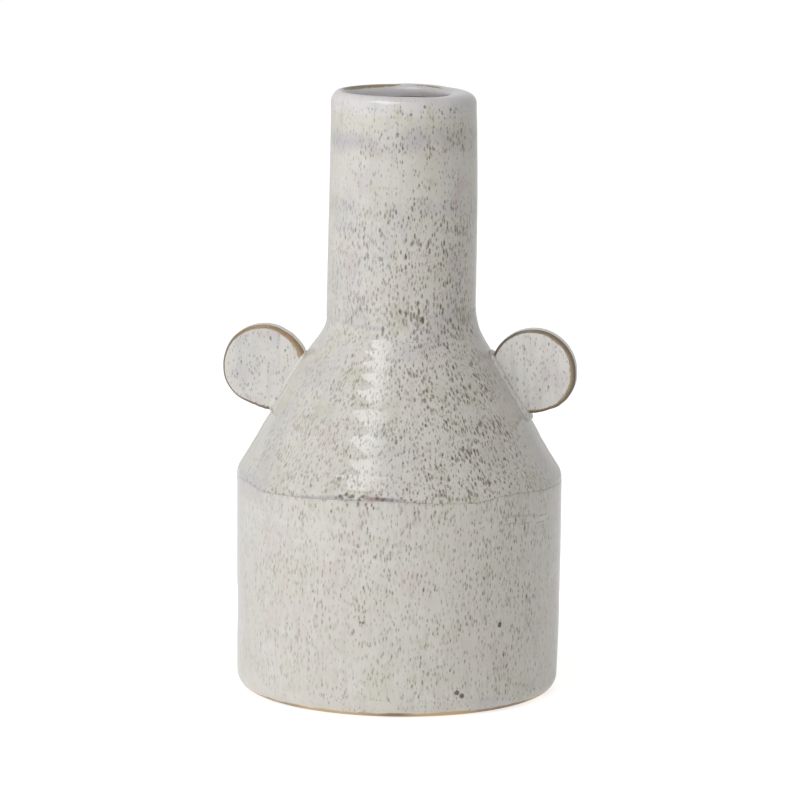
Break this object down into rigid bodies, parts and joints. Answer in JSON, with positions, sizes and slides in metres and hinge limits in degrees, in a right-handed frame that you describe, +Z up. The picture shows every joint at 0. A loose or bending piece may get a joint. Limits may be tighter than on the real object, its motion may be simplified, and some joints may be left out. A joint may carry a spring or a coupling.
{
  "type": "bottle vase",
  "caption": "Stoneware bottle vase with a straight body, conical shoulder, narrow thick-lipped neck and two disc ears, for a few stems.",
  "frame": {"origin": "centre of the foot's resting face", "axes": "+Z up along the vase's axis; +X towards the right ear seen from the front; the front faces -Y"},
  "size_m": [0.1477, 0.1352, 0.25],
  "materials": {
    "speckled_glaze_stoneware": "satin-gloss off-white reactive glaze with brown and olive speckles",
    "bare_stoneware": "unglazed tan clay, matt"
  },
  "bodies": {
    "root": {"foot_ring": "bare_stoneware", "floor_slab": "speckled_glaze_stoneware", "lower_wall": "speckled_glaze_stoneware", "shoulder_cone": "speckled_glaze_stoneware", "neck_tube": "speckled_glaze_stoneware", "lip_coil": "speckled_glaze_stoneware", "floor_seam_coil": "speckled_glaze_stoneware", "shoulder_seam_coil": "speckled_glaze_stoneware", "neck_seam_coil": "speckled_glaze_stoneware", "left_ear": "speckled_glaze_stoneware", "left_ear_coil": "speckled_glaze_stoneware", "right_ear": "speckled_glaze_stoneware", "right_ear_coil": "speckled_glaze_stoneware"}
  },
  "joints": []
}
